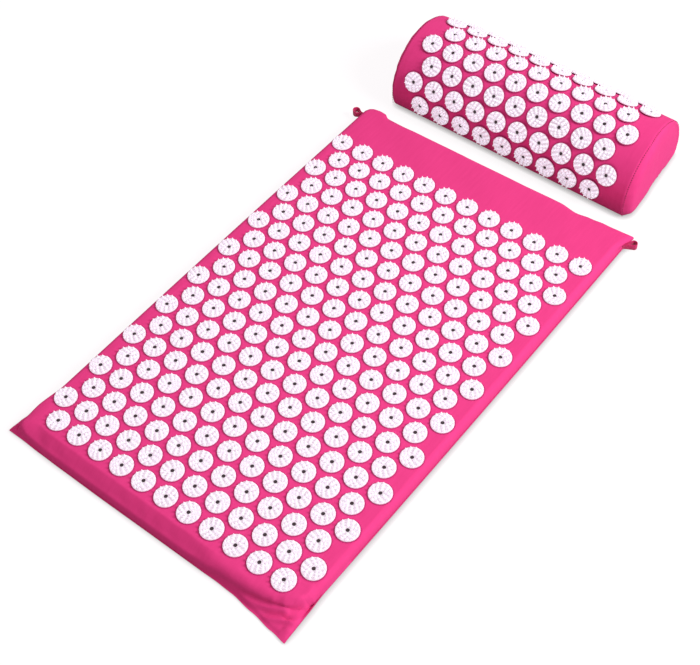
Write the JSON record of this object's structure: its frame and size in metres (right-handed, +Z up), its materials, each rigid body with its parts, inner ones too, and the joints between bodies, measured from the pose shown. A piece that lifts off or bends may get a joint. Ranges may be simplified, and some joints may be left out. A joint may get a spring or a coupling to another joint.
{
  "type": "acupressure mat with neck pillow",
  "caption": "Flat foam mat and half-round pillow in zipped cotton covers, both set with staggered rows of spiked plastic discs, with ribbon loops at the mat's head corners.",
  "frame": {"origin": "centre of the mat's flat underside, where it lies on the floor", "axes": "+X along a row of discs, towards the corner whose loop is swung outwards; +Y from the mat's foot end to its head end and the pillow; +Z up"},
  "size_m": [0.4187, 0.8018, 0.0954],
  "materials": {
    "cotton_cover": "hot pink plain-weave cotton",
    "spiked_discs": "white moulded plastic, slightly glossy",
    "foam": "cream open-cell foam",
    "zip_teeth": "pink nylon",
    "zip_metal": "nickel-plated zinc"
  },
  "bodies": {
    "mat": {"mat_top_panel": "cotton_cover", "mat_bottom_panel": "cotton_cover", "mat_foam_core": "foam", "mat_disc_row_01": "spiked_discs", "mat_disc_row_02": "spiked_discs", "mat_disc_row_03": "spiked_discs", "mat_disc_row_04": "spiked_discs", "mat_disc_row_05": "spiked_discs", "mat_disc_row_06": "spiked_discs", "mat_disc_row_07": "spiked_discs", "mat_disc_row_08": "spiked_discs", "mat_disc_row_09": "spiked_discs", "mat_disc_row_10": "spiked_discs", "mat_disc_row_11": "spiked_discs", "mat_disc_row_12": "spiked_discs", "mat_disc_row_13": "spiked_discs", "mat_disc_row_14": "spiked_discs", "mat_disc_row_15": "spiked_discs", "mat_disc_row_16": "spiked_discs", "mat_disc_row_17": "spiked_discs", "mat_disc_row_18": "spiked_discs", "mat_disc_row_19": "spiked_discs", "mat_disc_row_20": "spiked_discs", "mat_zip_upper_teeth": "zip_teeth", "mat_zip_upper_tape": "cotton_cover", "mat_zip_lower_teeth": "zip_teeth", "mat_zip_lower_tape": "cotton_cover", "mat_zip_left_stop": "zip_metal", "mat_zip_right_stop": "zip_metal"},
    "mat_left_loop": {"mat_left_loop": "cotton_cover"},
    "mat_right_loop": {"mat_right_loop": "cotton_cover"},
    "mat_zip_slider": {"mat_zip_slider": "zip_metal"},
    "mat_zip_pull": {"mat_zip_pull": "zip_metal"},
    "pillow": {"pillow_top_panel": "cotton_cover", "pillow_bottom_panel": "cotton_cover", "pillow_left_end_panel": "cotton_cover", "pillow_right_end_panel": "cotton_cover", "pillow_foam_core": "foam", "pillow_disc_row_1": "spiked_discs", "pillow_disc_row_2": "spiked_discs", "pillow_disc_row_3": "spiked_discs", "pillow_disc_row_4": "spiked_discs", "pillow_disc_row_5": "spiked_discs", "pillow_disc_row_6": "spiked_discs", "pillow_disc_row_7": "spiked_discs", "pillow_zip_upper_teeth": "zip_teeth", "pillow_zip_upper_tape": "cotton_cover", "pillow_zip_lower_teeth": "zip_teeth", "pillow_zip_lower_tape": "cotton_cover", "pillow_zip_left_stop": "zip_metal", "pillow_zip_right_stop": "zip_metal"},
    "pillow_zip_slider": {"pillow_zip_slider": "zip_metal"},
    "pillow_zip_pull": {"pillow_zip_pull": "zip_metal"}
  },
  "joints": [
    {"name": "mat_left_loop_bend", "type": "hinge", "parent": "mat", "child": "mat_left_loop", "pos_m": [-0.19457, 0.30273, 0.0098], "axis": [0, 0, 1], "range_deg": [-35, 35]},
    {"name": "mat_right_loop_bend", "type": "hinge", "parent": "mat", "child": "mat_right_loop", "pos_m": [0.19457, 0.30273, 0.0098], "axis": [0, 0, 1], "range_deg": [-70, 20]},
    {"name": "mat_zip_slide", "type": "slide", "parent": "mat", "child": "mat_zip_slider", "axis": [-1, 0, 0], "range_m": [0, 0.3318]},
    {"name": "mat_zip_pull_swing", "type": "hinge", "parent": "mat_zip_slider", "child": "mat_zip_pull", "pos_m": [0.16595, 0.31328, 0.0098], "axis": [0, 0, -1], "range_deg": [0, 180]},
    {"name": "pillow_lift", "type": "slide", "parent": "mat", "child": "pillow", "axis": [0, 0, 1], "range_m": [0, 0.15]},
    {"name": "pillow_zip_slide", "type": "slide", "parent": "pillow", "child": "pillow_zip_slider", "axis": [-1, 0, 0], "range_m": [0, 0.2548]},
    {"name": "pillow_zip_pull_swing", "type": "hinge", "parent": "pillow_zip_slider", "child": "pillow_zip_pull", "pos_m": [0.1215, 0.48778, 0.0188], "axis": [0, 0, -1], "range_deg": [0, 180]}
  ]
}
